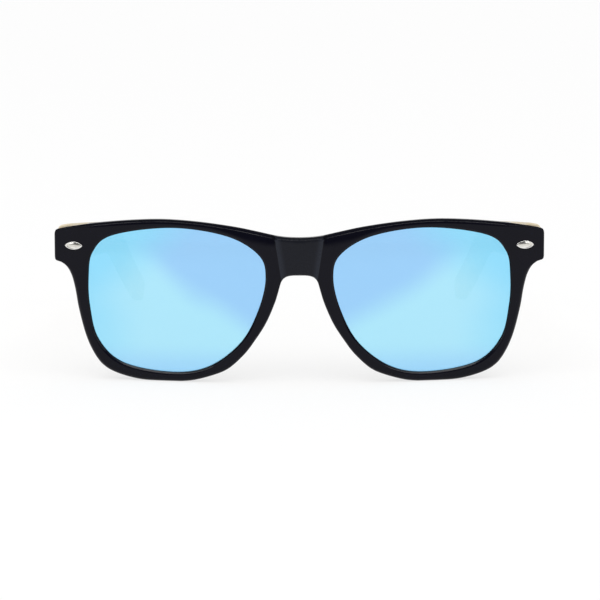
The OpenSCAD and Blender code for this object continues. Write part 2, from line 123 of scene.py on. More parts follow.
# Outlines in parts of the half sizes, the same as the solids have
LENS_SHAPE = [
    (1, 0.3), (0.95, 0.64), (0.72, 0.88), (0.06, 1), (-0.56, 0.9), (-0.92, 0.65), (-1, 0.34),
    (-0.92, -0.1), (-0.72, -0.56), (-0.36, -0.905), (0.06, -1), (0.62, -0.885), (0.9, -0.56), (0.99, -0.1),
]
OUTER_RIM_SHAPE = [
    (1.06, 0.29), (1.02, 0.1), (0.993, -0.11), (0.927, -0.44), (0.85, -0.665), (0.752, -0.828),
    (0.606, -0.924), (0.382, -0.989),
]
INNER_RIM_SHAPE = [
    (-0.203, -0.973), (-0.425, -0.887), (-0.541, -0.807), (-0.684, -0.637), (-0.775, -0.486),
    (-0.889, -0.268), (-0.984, 0), (-1.035, 0.215),
]
INNER_BROW_SHAPE = [(0.08, 0.07), (0.17, 0.34), (0.26, 0.6), (0.405, 0.88), (0.55, 1)]
OUTER_BROW_SHAPE = [(0.69, 0.87), (0.83, 0.575), (0.93, 0.28)]
NOSE_ARCH_SHAPE = [(0.5, -1.3), (0.39, -0.4), (0.22, -0.03)]
# Corners of the end piece, in mm from its outer end and from its top or its underside
END_UPPER_SHAPE = [(-0.4, 0), (0, -1)]
END_LOWER_SHAPE = [(0, 1.4), (-0.4, 0.9), (-1.9, 0.6), (-3.2, -0.2)]

# Rivet plates
RIVET_L = 5.5 * MM
RIVET_H = 2.4 * MM
RIVET_RAISE = 0.5 * MM
RIVET_SUNK = 0.4 * MM
RIVET_IN = 5.8 * MM
RIVET_LIFT = 0.7 * MM

# Hinge: the pins' places come from the frame
JOINTS = {joint["name"]: joint for joint in frame["record"]["behaviour"]["joints"]}
PIN = {side: Vector(JOINTS[f"fold_{side}"]["pos_m"]) for side in ("left", "right")}
HINGE_Z = PIN["left"].z
KNUCKLE_R = 1.6 * MM
NOTCH_X = KNUCKLE_R + 0.75 * MM
NOTCH_HALF_H = 2.88 * MM
HOUSING_Y = 2.58 * MM
HOUSING_END = 13.08 * MM
HOUSING_HALF = 1.6 * MM
HOUSING_HALF_H = 2 * MM
NOTCH_BACK = 0.3 * MM
TAIL_L = 8 * MM
TAIL_T = 0.9 * MM
BUTT_GAP = 0.2 * MM

# Temples
TEMPLE_L = 136 * MM
TEMPLE_T = 4.8 * MM
TEMPLE_H = 11.2 * MM
TIP_R = 4.25 * MM
TEMPLE_EDGE_R = 1.5 * MM
TEMPLE_LEAN = math.tan(math.radians(9.5))
TEMPLE_IN = 0.3 * MM
BEND_START = 86 * MM
BEND_L = 24 * MM
BEND_ANGLE = math.radians(31)
TIP_INWARD = 5 * MM
INWARD_START = BEND_START - 6 * MM
TIP_FLAT = 0.4
SPLAY = math.radians(2.5)
# The temple is made from here on and cut off at its butt
BUTT_START = -7 * MM
BUTT_Y = FACE_Y + FRONT_DEPTH + BUTT_GAP
CUT_REACH = 30 * MM

# Steps of a curve between two of its points, and points that are measured at once
CURVE_STEPS = 24
BLOCK = 4000
# Softness of a sloped edge's corner, as a share of its width
SLOPE_SOFTNESS = 0.2


def open_curve(points):
    """Points on a Catmull-Rom curve whose first and last points only steer it."""
    p = np.array(points, float)
    t = (np.arange(CURVE_STEPS) / CURVE_STEPS)[:, None]
    parts = []
    for a, b, c, d in zip(p, p[1:], p[2:], p[3:]):
        bend = (a * 2 - b * 5 + c * 4 - d) * t ** 2 + (b * 3 - a - c * 3 + d) * t ** 3
        parts.append((b * 2 + (c - a) * t + bend) / 2)
    return np.vstack(parts + [p[-2:-1]])


def closed_curve(points):
    """Points on a Catmull-Rom curve that runs round into itself."""
    p = list(points)
    return open_curve([p[-1]] + p + p[:2])[:-1]


def resample(line, count):
    """Points at even steps along a line, with its start and without its end."""
    line = np.array(line, float)
    run = np.concatenate([[0], np.cumsum(np.linalg.norm(np.diff(line, axis=0), axis=1))])
    at = np.linspace(0, run[-1], count, endpoint=False)
    return np.stack([np.interp(at, run, line[:, k]) for k in (0, 1)], axis=1)


def smoothstep(low, high, value):
    t = np.clip((value - low) / (high - low), 0, 1)
    return t * t * (3 - 2 * t)


def ball_y(x, z, depth):
    """Y of the ball that lies depth behind the front's face."""
    r = WRAP_R - depth
    return FACE_Y + WRAP_R - np.sqrt(r * r - x ** 2 - (z - MID_Z) ** 2)


def lens_radius(angle, extra=0.0):
    """Distance of the lens opening's edge from the lens centre, by angle."""
    half = np.array([APERTURE_W / 2 + extra, APERTURE_H / 2 + extra])
    edge = closed_curve(np.array(LENS_SHAPE) * half)
    at = np.arctan2(edge[:, 1], edge[:, 0])
    order = np.argsort(at)
    return np.interp(angle, at[order], np.linalg.norm(edge, axis=1)[order], period=2 * math.pi)


def lens_edge(angle, extra=0.0):
    r = lens_radius(angle, extra)
    return LENS_X + r * np.cos(angle), LENS_Z + r * np.sin(angle)


def spots(shape, x, wide, z, tall):
    """Points of a table, moved and scaled."""
    return [(x + u * wide, z + v * tall) for u, v in shape]


def to_line(points, line):
    """Distance of each point from a line of short straight steps."""
    a, b = line[:-1], line[1:]
    step = b - a
    out = []
    for block in np.array_split(points, max(1, len(points) // BLOCK)):
        rel = block[:, None, :] - a[None]
        t = np.clip((rel * step).sum(2) / (step ** 2).sum(1), 0, 1)
        out.append(np.linalg.norm(rel - t[..., None] * step, axis=2).min(1))
    return np.concatenate(out)


def quarter_round(distance, radius):
    """Drop of a rounded edge at a distance from that edge."""
    short = np.clip(radius - distance, 0, radius)
    return radius - np.sqrt(np.maximum(radius ** 2 - short ** 2, 0))


def soft_slope(distance, width):
    """Drop of an edge cut at 45 degrees, with a soft corner, at a distance from that edge."""
    inside = width - distance
    return (inside + np.hypot(inside, width * SLOPE_SOFTNESS)) / 2


# Mesh tools
# Points closer than this are one, in a new piece and in a copy of a solid
MERGE_GAP = 1e-7
COPY_GAP = 1e-6


def link_new(name, data):
    """A new object in the scene."""
    piece = bpy.data.objects.new(name, data)
    bpy.context.collection.objects.link(piece)
    return piece


def adopt(name):
    """Names the object that an operator has just added."""
    piece = bpy.context.active_object
    piece.name = name
    piece.data.name = name
    return piece


def places_of(piece):
    return np.array([v.co for v in piece.data.vertices]).T


def move_vertices(piece, places):
    piece.data.vertices.foreach_set("co", np.ascontiguousarray(places, dtype=np.float32).ravel())
    piece.data.update()


def step_round(high, wide, count):
    """The nearest of count steps round a circle."""
    return np.rint(np.arctan2(high, wide) / (2 * math.pi) * count).astype(int) % count


def from_torus(name, grid):
    """A torus whose rings and ring points are moved to the places in grid."""
    rings, points = grid.shape[:2]
    bpy.ops.mesh.primitive_torus_add(
        major_segments=rings, minor_segments=points, major_radius=1, minor_radius=0.25, generate_uvs=False)
    piece = adopt(name)
    x, y, z = places_of(piece)
    move_vertices(piece, grid[step_round(y, x, rings), step_round(z, np.hypot(x, y) - 1, points)])
    return piece


def from_ball(name, grid):
    """A ball whose rings are moved to the places in grid, with a pole at each end."""
    rings, points = grid.shape[:2]
    bpy.ops.mesh.primitive_uv_sphere_add(segments=points, ring_count=rings - 1, radius=1, calc_uvs=False)
    piece = adopt(name)
    x, y, z = places_of(piece)
    ring = np.rint(np.arccos(np.clip(z, -1, 1)) / math.pi * (rings - 1)).astype(int)
    move_vertices(piece, grid[ring, step_round(y, x, points)])
    return piece


def make_current(piece):
    bpy.ops.object.select_all(action="DESELECT")
    piece.select_set(True)
    bpy.context.view_layer.objects.active = piece


def to_mode(mode):
    bpy.ops.object.mode_set(mode=mode)


def tidy_mesh(piece, smooth_angle=30):
    """Merges doubles, points the faces outwards and smooths all but the sharp edges."""
    make_current(piece)
    to_mode("EDIT")
    bpy.ops.mesh.select_all(action="SELECT")
    bpy.ops.mesh.remove_doubles(threshold=MERGE_GAP)
    bpy.ops.mesh.normals_make_consistent(inside=False)
    to_mode("OBJECT")
    bpy.ops.object.shade_smooth_by_angle(angle=math.radians(smooth_angle))


def apply_modifier(piece, name, kind, **settings):
    """Changes the piece, which is the current one, by a modifier."""
    modifier = piece.modifiers.new(name, kind)
    for key, value in settings.items():
        setattr(modifier, key, value)
    bpy.ops.object.modifier_apply(modifier=modifier.name)


def both_sides(piece, stem):
    """Names the left piece and makes the right one, with a mesh of its own."""
    piece.name = f"{stem}_left"
    right = link_new(f"{stem}_right", piece.data.copy())
    right.data.name = right.name
    right.data.transform(Matrix.Scale(-1, 4, (1, 0, 0)))
    right.data.flip_normals()
    return {"left": piece, "right": right}


def hand_over(piece, body, slot, *nodes):
    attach(piece, body)
    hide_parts(*nodes)


# Front
# Stations on each stretch of the half outline, and the lens angle in degrees where each stretch starts
STATIONS = [96, 36, 74, 8, 64, 24, 30]
LENS_TURNS = [152.7, 38, 17, -78, -92.4, -186, -201, -207.3]
SMOOTHINGS = 3
# Share of a line that its rounded edges may take, and the least gap beside a stop as a share of the rest
EDGE_SHARE = 0.94
LEAST_GAP = 0.02
# Least lean of a line that counts as crossing a step
LEAST_LEAN = 0.05
# Rows before and after the stops, on the face and on the back
FACE_ROWS = (20, 20)
BACK_ROWS = (12, 8)
# Rows over the panel's crease, the sloped edge, the step to the end piece and the wall, in parts of each
CREASE_ROWS = np.linspace(-0.6, 0.6, 5)
SLOPE_ROWS = np.linspace(0, 1.5, 9)
STEP_ROWS = np.linspace(0, 1, 9)
WALL_ROWS = np.array([0.25, 0.5, 0.75])


def front_outline():
    """The half outline from the bridge to the nose, its lens angles and where its middle line starts."""
    brow = spots(INNER_BROW_SHAPE, 0, HALF_W, BRIDGE_TOP, BRIDGE_DIP)
    brow += spots(OUTER_BROW_SHAPE, 0, HALF_W, END_TOP, END_DIP)
    upper = spots(END_UPPER_SHAPE, HALF_W, MM, END_TOP, MM)
    lower = spots(END_LOWER_SHAPE, HALF_W, MM, END_BOTTOM, MM)
    rim = (LENS_X, APERTURE_W / 2 + RIM_SIDE, LENS_Z, APERTURE_H / 2 + RIM_BOTTOM)
    outer_rim, inner_rim = spots(OUTER_RIM_SHAPE, *rim), spots(INNER_RIM_SHAPE, *rim)
    flat = [(LENS_X + FLAT_SHIFT + RIM_FLAT / 2, 0), (LENS_X + FLAT_SHIFT - RIM_FLAT / 2, 0)]
    arch = spots(NOSE_ARCH_SHAPE, 0, BRIDGE_GAP / 2, BRIDGE_UNDER, MM)
    over, under = (0, BRIDGE_TOP), (0, BRIDGE_UNDER)
    nose = open_curve(flat + inner_rim + arch + [under, (-arch[-1][0], arch[-1][1])])
    nose_top = CURVE_STEPS * len(inner_rim)
    stretches = [
        open_curve([(-brow[0][0], brow[0][1]), over] + brow + [upper[0], (HALF_W, END_TOP)]),
        upper + lower[:3],
        open_curve(lower[1:] + outer_rim + flat),
        flat,
        nose[:nose_top + 1],
        nose[nose_top:],
        [under, over],
    ]
    points = np.vstack([resample(line, count) for line, count in zip(stretches, STATIONS)])
    angles = np.concatenate([
        np.linspace(start, end, count, endpoint=False)
        for start, end, count in zip(LENS_TURNS, LENS_TURNS[1:], STATIONS)])
    # The flat, the points beside it and the middle line stay as they are
    soft = np.zeros(len(points), bool)
    soft[1:sum(STATIONS[:3]) - 2] = True
    soft[sum(STATIONS[:4]) + 3:sum(STATIONS[:6]) - 1] = True
    for _ in range(SMOOTHINGS):
        middle = (np.roll(points, 1, axis=0) + np.roll(points, -1, axis=0)) / 2
        points[soft] = (points[soft] + middle[soft]) / 2
    return points, np.radians(angles), sum(STATIONS[:6])


def edge_steps(radius, count):
    """Distances from an edge, closest where a rounded edge turns fastest, a row for each radius."""
    turn = np.linspace(0, math.pi / 2, count)
    return np.asarray(radius)[:, None] * (1 - np.cos(turn))


def between(low, high, count):
    share = np.linspace(0, 1, count + 2)[None, 1:-1]
    return low + (high - low) * share


def rows_between(length, near, far, stops, counts):
    """Distances along each station's line, close together at the rounded edges and at the stops."""
    fit = np.minimum(1, EDGE_SHARE * length / (near[:, -1] + far[:, -1]))[:, None]
    first = near * fit
    last = length[:, None] - far[:, ::-1] * fit
    low, high = first[:, -1:], last[:, :1]
    room = np.linspace(LEAST_GAP, 1 - LEAST_GAP, stops.shape[1])[None]
    least = (high - low) * LEAST_GAP
    stops = np.clip(stops, low + least * (1 + room), high - least * (2 - room))
    return np.hstack([
        first, between(low, stops[:, :1], counts[0]), stops, between(stops[:, -1:], high, counts[1]), last])


def panel_half(z):
    """Half the width of the panel on the bridge at a height."""
    return PANEL_UNDER_W / 2 + PANEL_LEAN * (z - BRIDGE_UNDER)


def panel_crossing(inner, along, length):
    """Distance along each station's line at which it meets the panel's edge, or its full length."""
    closing = along[:, 0] - PANEL_LEAN * along[:, 1]
    meets = (panel_half(inner[:, 1]) - inner[:, 0]) / np.minimum(closing, -LEAST_LEAN)
    return np.where((closing < -LEAST_LEAN) & (meets > 0), np.minimum(meets, length), length)


def face_height(x, z, to_wall, look):
    """The front's face. Beside the raised panel it falls away and rolls back to the brow's top edge."""
    inside = panel_half(z) - np.abs(x)
    step = smoothstep(-look.panel_crease / 2, look.panel_crease / 2, inside)
    fall = np.clip(1 + inside / look.shoulder, 0, 1) ** 2
    near = (1 - smoothstep(*ROLL_X, x)) * smoothstep(*ROLL_Z, z)
    roll = look.roll_depth * (1 - step) * near * quarter_round(to_wall, look.roll_width) / look.roll_width
    return ball_y(x, z, -PANEL_RAISE * (PANEL_STEP * step + (1 - PANEL_STEP) * fall)) + roll


def end_crossing(inner, along, length):
    """Distances along each station's line over the step to the end piece, or the line's full length."""
    outward = np.maximum(along[:, :1], LEAST_LEAN)
    start = (END_STEP_X - inner[:, :1]) / outward
    steps = start + END_STEP_W / outward * STEP_ROWS
    return np.where(along[:, :1] > LEAST_LEAN, steps, length[:, None])


def back_height(x, z, end_share, pad_reach):
    """The front's back: rims, thick end pieces and nose pads. Also gives the share of the pad."""
    end = smoothstep(END_STEP_X, END_STEP_X + END_STEP_W, x) * end_share
    deep = FACE_Y + FRONT_DEPTH - SET_CLEAR
    rim = ball_y(x, z, RIM_T)
    pad = smoothstep(*PAD_LOW_Z, z) * (1 - smoothstep(*PAD_HIGH_Z, z)) * (1 - smoothstep(*PAD_X, x))
    return rim + (deep - rim) * end + pad_reach * pad, pad


def edge_radii(outline, look):
    """Radius of the front and the back edge at each station: crisp at the end pieces, round on the brow."""
    x, z = outline.T
    at_end = smoothstep(*CRISP_X, x) * smoothstep(*CRISP_Z, z)
    on_brow = smoothstep(*BROW_Z, z) * (1 - smoothstep(*BROW_X, x))
    front = look.edge_round + (look.end_round - look.edge_round) * at_end
    return front, look.back_round + (look.brow_round - look.back_round) * on_brow


def back_outline_of(outline):
    """The outline at the back, where the top of an end piece is lower."""
    x, z = outline.T
    fall = smoothstep(*FALL_X, x) * smoothstep(*FALL_Z, z)
    return outline - np.stack([np.zeros_like(x), END_FALL * fall], axis=1)


def front_rings(look):
    """Rings of the half front: its face, its outer wall, its back and the wall of the lens opening."""
    outline, angles, centre_from = front_outline()
    back_outline = back_outline_of(outline)
    ax, az = lens_edge(angles)
    inner = np.stack([ax, az], axis=1)
    lens_line = np.vstack([inner, inner[:1]])
    front_r, back_r = edge_radii(outline, look)
    all_round = np.ones(len(outline))

    def lines_to(outer):
        length = np.linalg.norm(outer - inner, axis=1)
        return length, (outer - inner) / length[:, None]

    def spread(rows, along, outer):
        flat = (inner[:, None, :] + along[:, None, :] * rows[..., None]).reshape(-1, 2)
        values = flat[:, 0], flat[:, 1], to_line(flat, outer[:centre_from + 1]), to_line(flat, lens_line)
        return [value.reshape(rows.shape) for value in values]

    length, along = lines_to(outline)
    crease = panel_crossing(inner, along, length)[:, None] + CREASE_ROWS * look.panel_crease
    near, far = np.outer(all_round, SLOPE_ROWS) * look.opening_slope, edge_steps(front_r, count=9)
    rows = rows_between(length, near, far, crease, FACE_ROWS)
    x, z, to_wall, to_lens = spread(rows, along, outline)
    y = face_height(x, z, to_wall, look)
    y += quarter_round(to_wall, front_r[:, None]) + soft_slope(to_lens, look.opening_slope)
    face = np.stack([x, y, z], axis=2)

    length, along = lines_to(back_outline)
    near, far = edge_steps(look.back_round * all_round, count=5), edge_steps(back_r, count=7)
    rows = rows_between(length, near, far, end_crossing(inner, along, length), BACK_ROWS)
    x, z, to_wall, to_lens = spread(rows, along, back_outline)
    end_share = smoothstep(END_BOTTOM - END_FADE, END_BOTTOM, outline[:, 1:])
    y, pad = back_height(x, z, end_share, look.pad_reach)
    outer_r = back_r[:, None] + (look.pad_round - back_r[:, None]) * pad
    inner_r = look.back_round + (look.pad_round - look.back_round) * pad
    y -= quarter_round(to_wall, outer_r) + quarter_round(to_lens, inner_r)
    back = np.stack([x, y, z], axis=2)[:, ::-1]

    wall = face[:, -1:] + (back[:, :1] - face[:, -1:]) * WALL_ROWS[:, None]
    near, far = LENS_SETBACK - SET_CLEAR, LENS_SETBACK + LENS_T + SET_CLEAR
    gx, gz = lens_edge(angles, LENS_BITE + SET_CLEAR)
    corners = [(ax, az, far), (gx, gz, far), (gx, gz, near), (ax, az, near)]
    groove = np.stack([np.stack([x, ball_y(x, z, depth), z], axis=1) for x, z, depth in corners], axis=1)
    return np.concatenate([face, wall, back, groove], axis=1)


class GLASSES_OT_front(bpy.types.Operator):
    """Make the moulded front with its rims, bridge, end pieces and nose pads"""
    bl_idname = "glasses.front"
    bl_label = "Front"

    def execute(self, context):
        look = context.scene.glasses_front
        piece = from_torus("front", front_rings(look))
        middle = np.abs(places_of(piece)[0]) < MERGE_GAP
        make_current(piece)
        to_mode("EDIT")
        bpy.ops.mesh.select_mode(type="FACE")
        bpy.ops.mesh.select_all(action="DESELECT")
        to_mode("OBJECT")
        for face in piece.data.polygons:
            face.select = bool(middle[list(face.vertices)].all())
        to_mode("EDIT")
        bpy.ops.mesh.delete(type="FACE")
        to_mode("OBJECT")
        apply_modifier(piece, "other half", "MIRROR", merge_threshold=COPY_GAP)
        tidy_mesh(piece)
        piece.data.materials.append(black_plastic(look))
        hand_over(piece, "front", "front_black", "front_frame")
        return {"FINISHED"}


# Lenses
LENS_RINGS = 30
LENS_POINTS = 160
# A face of the lens that looks forward at least this much has the coat
COAT_FACING = -0.5


def angles_round(count):
    return np.arange(count) / count * 2 * math.pi


def lens_grid():
    """Rings of the left lens from the middle of its face over its edge to the middle of its back."""
    angle = angles_round(LENS_POINTS)
    reach = np.linspace(0, 1, LENS_RINGS)[:, None] * lens_radius(angle, LENS_BITE)
    x, z = LENS_X + reach * np.cos(angle), LENS_Z + reach * np.sin(angle)
    depths = (LENS_SETBACK, LENS_SETBACK + LENS_T)
    face, back = [np.stack([x, ball_y(x, z, depth), z], axis=2) for depth in depths]
    return np.concatenate([face, back[::-1]])


class GLASSES_OT_lenses(bpy.types.Operator):
    """Make the two lenses, mirrored on the front and dark behind"""
    bl_idname = "glasses.lenses"
    bl_label = "Lenses"

    def execute(self, context):
        look = context.scene.glasses_lens
        piece = from_ball("lens", lens_grid())
        tidy_mesh(piece)
        piece.data.materials.append(mirror_coat(look))
        piece.data.materials.append(smoked_plastic(look))
        for face in piece.data.polygons:
            face.material_index = 0 if face.normal.y < COAT_FACING else 1
        for side, lens in both_sides(piece, "mirror_lens").items():
            hand_over(lens, "front", "lens_mirror", f"lens_{side}")
        return {"FINISHED"}


# Rivet plates
RIVET_POINTS = 128
CROWN_RINGS, BEVEL_RINGS = 10, 8
# Share of the pointed form against the oval
RIVET_POINTED = 0.6
# Faces of the bevel look forward by this much
BEVEL_FACING = (-0.97, -0.05)
BEVEL_SINK = 0.8
BEVEL_START = 0.2
BACK_RING = 0.6
UPRIGHT_GRAIN = (0.05, 1, 1)


def pointed_oval(angle):
    """Distance of a pointed oval's edge from its middle, by angle, with slightly blunted ends."""
    arc_r = ((RIVET_L / 2) ** 2 + (RIVET_H / 2) ** 2) / RIVET_H
    off = arc_r - RIVET_H / 2
    rise = off * np.abs(np.sin(angle))
    pointed = np.sqrt(arc_r ** 2 - off ** 2 + rise ** 2) - rise
    oval = 1 / np.hypot(np.cos(angle) / (RIVET_L / 2), np.sin(angle) / (RIVET_H / 2))
    return pointed * RIVET_POINTED + oval * (1 - RIVET_POINTED)


def rivet_grid(look):
    """Rings of a rivet plate round the origin, from the top of its crown to the middle of its back."""
    angle = angles_round(RIVET_POINTS)
    edge = pointed_oval(angle)
    x, z = edge * np.cos(angle), edge * np.sin(angle)
    crown, bevel = look.rivet_crown, look.rivet_bevel
    inner = 1 - bevel / (RIVET_H / 2)
    profile = [(share * inner, -RIVET_RAISE + crown * share ** 2)
               for share in np.linspace(0, 1, CROWN_RINGS)]
    profile += [(inner + (1 - inner) * math.sin(t), -RIVET_RAISE + bevel * BEVEL_SINK * (1 - math.cos(t)))
                for t in np.linspace(BEVEL_START, math.pi / 2, BEVEL_RINGS)]
    profile += [(1, -RIVET_RAISE + bevel), (1, RIVET_SUNK), (BACK_RING, RIVET_SUNK), (0, RIVET_SUNK)]
    return np.array([np.stack([x * share, np.full_like(x, y), z * share], axis=1) for share, y in profile])


def on_face(x, z):
    """Turns a piece made round the origin onto the front's face, with Y into the front."""
    turn = Matrix.Rotation(math.asin(x / WRAP_R), 4, "Z")
    tilt = Matrix.Rotation(-math.asin((z - MID_Z) / WRAP_R), 4, "X")
    centre = Vector((0, FACE_Y + WRAP_R, MID_Z))
    return Matrix.Translation(centre) @ turn @ tilt @ Matrix.Translation((0, -WRAP_R, 0))


class GLASSES_OT_rivets(bpy.types.Operator):
    """Make the pointed-oval metal plates on the end pieces"""
    bl_idname = "glasses.rivets"
    bl_label = "Rivet plates"

    def execute(self, context):
        look = context.scene.glasses_metal
        piece = from_ball("rivet", rivet_grid(look))
        tidy_mesh(piece, smooth_angle=40)
        # The bevel's paler metal is a painted highlight; the silver is the plates' own colour
        for name, colour, roughness in (("silver", look.silver, 0.16), ("bevel", look.bevel, 0.1)):
            piece.data.materials.append(brushed_metal(f"rivet {name}", colour, roughness, UPRIGHT_GRAIN))
        for face in piece.data.polygons:
            face.material_index = 1 if BEVEL_FACING[0] < face.normal.y < BEVEL_FACING[1] else 0
        piece.data.transform(on_face(HALF_W - RIVET_IN, HINGE_Z + RIVET_LIFT))
        for side, rivet in both_sides(piece, "rivet_plate").items():
            hand_over(rivet, "front", "rivet_silver", f"rivet_{side}")
        return {"FINISHED"}


# Temples
TEMPLE_POINTS = 72
# Rings from the butt to the pin, to the bend and to the tip, and turns of the round tip in degrees
BUTT_RINGS, STRAIGHT_RINGS, BEND_RINGS = 44, 34, 44
TIP_TURNS = [12, 24, 36, 47, 57, 66, 74, 81]
CORNER_STEPS = 9
# Most that an edge round may take of half a section
ROUND_SHARE = 0.85


def turn_at(q):
    return BEND_ANGLE * np.clip((q - BEND_START) / BEND_L, 0, 1)


def path_at(q):
    """Run and drop of the temple's middle line at a distance from the pin."""
    bend_r = BEND_L / BEND_ANGLE
    past = np.maximum(q - BEND_START - BEND_L, 0)
    run = np.minimum(q, BEND_START) + bend_r * np.sin(turn_at(q)) + past * math.cos(BEND_ANGLE)
    return run, bend_r * (1 - np.cos(turn_at(q))) + past * math.sin(BEND_ANGLE)


def temple_slope():
    """Downward slope of the temple that brings its tip to the table."""
    run, drop = path_at(TEMPLE_L)
    return math.asin((HINGE_Z - TIP_R) / math.hypot(run, drop)) - math.atan2(drop, run)


def at_pin():
    return Matrix.Translation(PIN["left"]) @ Matrix.Rotation(SPLAY, 4, "Z")


def along_temple():
    """From the temple's own frame, with Y along it from the pin, to its place on the left side."""
    return at_pin() @ Matrix.Rotation(-temple_slope(), 4, "X")


def section(half_t, half_h):
    """Rounded rectangle across the temple, at even steps round it."""
    r = min(TEMPLE_EDGE_R, ROUND_SHARE * half_t, ROUND_SHARE * half_h)
    line = []
    for corner, (sx, sz) in enumerate([(1, 1), (-1, 1), (-1, -1), (1, -1)]):
        for step in np.linspace(0, math.pi / 2, CORNER_STEPS):
            t = corner * math.pi / 2 + step
            line.append((sx * (half_t - r) + r * math.cos(t), sz * (half_h - r) + r * math.sin(t)))
    return resample(line + line[:1], TEMPLE_POINTS)


def temple_grid(look):
    """Rings of the left temple from its butt to the middle of its round tip, beside the pin."""
    half_t, half_h = TEMPLE_T / 2, TEMPLE_H / 2
    stations = [(BUTT_START, 0.0), (BUTT_START, 0.5)]
    stations += [(q, 1.0) for q in np.linspace(BUTT_START, 0, BUTT_RINGS)]
    stations += [(q, 1.0) for q in np.linspace(0, BEND_START, STRAIGHT_RINGS)[1:]]
    stations += [(q, 1.0) for q in np.linspace(BEND_START, TEMPLE_L, BEND_RINGS)[1:]]
    rings = [(q, section(half_t, half_h - (half_h - TIP_R) * (q / TEMPLE_L) ** 2) * share)
             for q, share in stations]
    for t in np.radians(TIP_TURNS):
        wide = half_t * (TIP_FLAT + (1 - TIP_FLAT) * math.cos(t))
        rings.append((TEMPLE_L + TIP_R * math.sin(t), section(wide, TIP_R * math.cos(t))))
    rings.append((TEMPLE_L + TIP_R, np.zeros((TEMPLE_POINTS, 2))))
    place = along_temple()
    grid = []
    for q, ring in rings:
        run, drop = path_at(q)
        reached = min(q, TEMPLE_L)
        inward = TIP_INWARD * max(0, (reached - INWARD_START) / (TEMPLE_L - INWARD_START)) ** 2
        if q < 0:
            behind = [(place @ Vector((TEMPLE_IN + half_t + u, run, v))).y - BUTT_Y for u, v in ring]
            ring = ring * (1 - quarter_round(np.clip(behind, 0, 1), look.butt_round) / half_t)[:, None]
        up = ring[:, 1] - ring[:, 0] * TEMPLE_LEAN * (1 - reached / TEMPLE_L) ** 2
        grid.append(np.stack([
            TEMPLE_IN + half_t - inward + ring[:, 0],
            run + up * np.sin(turn_at(q)),
            -drop + up * np.cos(turn_at(q))], axis=1))
    return np.array(grid)


def cut_pocket(piece, low, high, place):
    """Cuts a block, given by its lowest and highest corners, out of a piece."""
    bpy.ops.mesh.primitive_cube_add(size=1)
    block = adopt("cutter")
    low, high = Vector(low), Vector(high)
    block.data.transform(Matrix.Translation((low + high) / 2) @ Matrix.Diagonal((high - low).to_4d()))
    block.data.transform(place)
    make_current(piece)
    apply_modifier(piece, "pocket", "BOOLEAN", operation="DIFFERENCE", solver="EXACT", object=block)
    bpy.data.objects.remove(block, do_unlink=True)


class GLASSES_OT_temples(bpy.types.Operator):
    """Make the bamboo temples with the pockets for their hinges"""
    bl_idname = "glasses.temples"
    bl_label = "Temples"

    def execute(self, context):
        look = context.scene.glasses_temple
        piece = from_ball("temple", temple_grid(look))
        piece.data.transform(along_temple())
        tidy_mesh(piece)
        far, half_h = CUT_REACH, HOUSING_HALF_H + SET_CLEAR
        housing = (HOUSING_HALF + SET_CLEAR, HOUSING_END + SET_CLEAR, half_h)
        tail = (TEMPLE_IN + TAIL_T + SET_CLEAR, HOUSING_END + TAIL_L + SET_CLEAR, half_h)
        for low, high, place in (
                ((-far, -far, -far), (far, BUTT_Y - PIN["left"].y, far), Matrix.Translation(PIN["left"])),
                ((-far, -far, -NOTCH_HALF_H), (NOTCH_X, HOUSING_Y + NOTCH_BACK, NOTCH_HALF_H), at_pin()),
                ((-far, HOUSING_Y, -half_h), housing, along_temple()),
                ((-far, HOUSING_END - MM, -half_h), tail, along_temple())):
            cut_pocket(piece, low, high, place)
        tidy_mesh(piece)
        piece.data.materials.append(bamboo(look))
        for side, temple in both_sides(piece, "bamboo_temple").items():
            hand_over(temple, f"temple_{side}", "temple_bamboo", f"temple_{side}")
        return {"FINISHED"}


# Hinges
EASED = {"front_hinge": 0.15 * MM, "slider": 0.12 * MM, "hinge_housing": 0.3 * MM, "pivot_screw": 0.1 * MM,
         "housing_screws": 0.08 * MM}
EASE_STEPS = 3
# Edges that turn less than the first angle are dissolved, those that turn more than the second are eased
FLAT_ANGLE = math.radians(0.5)
EASE_ANGLE = math.radians(40)
COIL_SMOOTH = 70


def own_copy(node, name):
    """A copy of a solid as a piece of its own, in edit mode, with its points merged."""
    piece = link_new(name, node.data.copy())
    piece.data.materials.clear()
    make_current(piece)
    bpy.ops.mesh.customdata_custom_splitnormals_clear()
    to_mode("EDIT")
    bpy.ops.mesh.select_all(action="SELECT")
    bpy.ops.mesh.remove_doubles(threshold=COPY_GAP)
    return piece


def eased_copy(node, name, width):
    """A copy of a solid with its edges eased by a small round."""
    piece = own_copy(node, name)
    bpy.ops.mesh.dissolve_limited(angle_limit=FLAT_ANGLE)
    to_mode("OBJECT")
    apply_modifier(piece, "eased edges", "BEVEL", limit_method="ANGLE", angle_limit=EASE_ANGLE,
                   width=width, segments=EASE_STEPS)
    tidy_mesh(piece)
    return piece


def coil(node, side):
    """A copy of a spring, with its points merged and its wire smoothed."""
    piece = own_copy(node, f"coil_{side}")
    to_mode("OBJECT")
    tidy_mesh(piece, COIL_SMOOTH)
    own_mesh(piece)
    return piece


